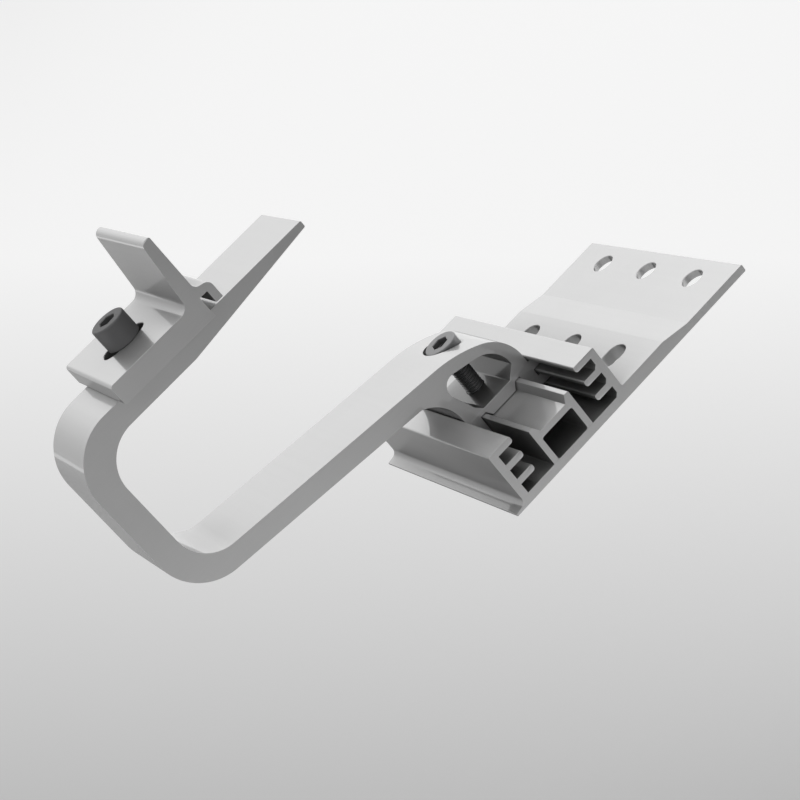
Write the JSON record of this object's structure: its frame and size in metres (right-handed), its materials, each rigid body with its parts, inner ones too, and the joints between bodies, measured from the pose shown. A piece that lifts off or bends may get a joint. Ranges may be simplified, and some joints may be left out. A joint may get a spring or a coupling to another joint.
{
  "type": "solar roof hook",
  "caption": "Adjustable roof hook: a looped aluminium arm slides in a serrated base rail and carries a slotted bracket for the module rail.",
  "frame": {"origin": "centre of the base rail's flat underside, which lies on the roof", "axes": "+X along the eaves, along the base rail's own length; +Y up the roof slope, away from the arm's bend; +Z out of the roof"},
  "size_m": [0.1046, 0.2295, 0.1615],
  "materials": {
    "base_plate": "satin mill-finish extrusion",
    "hook_arm": "satin mill-finish extrusion",
    "rail_bracket": "satin mill-finish extrusion",
    "base_screw": "bright plated steel",
    "rail_screw": "plated steel"
  },
  "bodies": {
    "rail": {"base_plate": "base_plate"},
    "arm": {"hook_arm": "hook_arm", "base_screw": "base_screw", "rail_screw": "rail_screw"},
    "bracket": {"rail_bracket": "rail_bracket"}
  },
  "joints": [
    {"name": "arm_slide", "type": "slide", "parent": "rail", "child": "arm", "axis": [1, 0, 0], "range_m": [-0.0345, 0.0345]},
    {"name": "bracket_slide", "type": "slide", "parent": "arm", "child": "bracket", "axis": [0, 1, 0], "range_m": [-0.0048, 0.0048]}
  ]
}
